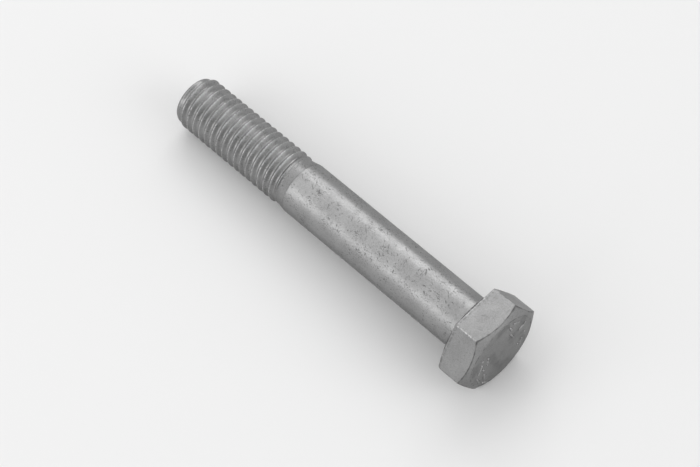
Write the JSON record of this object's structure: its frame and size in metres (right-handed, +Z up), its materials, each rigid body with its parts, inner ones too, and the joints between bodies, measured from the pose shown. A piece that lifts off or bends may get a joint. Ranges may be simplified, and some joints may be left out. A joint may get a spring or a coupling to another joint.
{
  "type": "hex bolt",
  "caption": "Partly threaded hexagon head bolt in galvanised steel, with a chamfered head, washer face, plain shank, reduced neck, and right-hand thread with a chamfered point.",
  "frame": {"origin": "on the surface the bolt lies on, under the middle of its bounding box", "axes": "+Z up. The bolt lies along X with its head at +X, resting on the lowest flat of the head and on the thread near its point, so the head end of its axis is lifted 2.62 degrees above +X in the XZ plane. The upper flat of the head faces up and the mounts carry the exact bolt axis."},
  "size_m": [0.088, 0.022, 0.0193],
  "materials": {
    "galvanised_steel": "hot-dip galvanised, mottled grey with fine pits and rubbed edges"
  },
  "bodies": {
    "root": {"hex_head": "galvanised_steel", "washer_face": "galvanised_steel", "plain_shank": "galvanised_steel", "threaded_end": "galvanised_steel"}
  },
  "joints": []
}
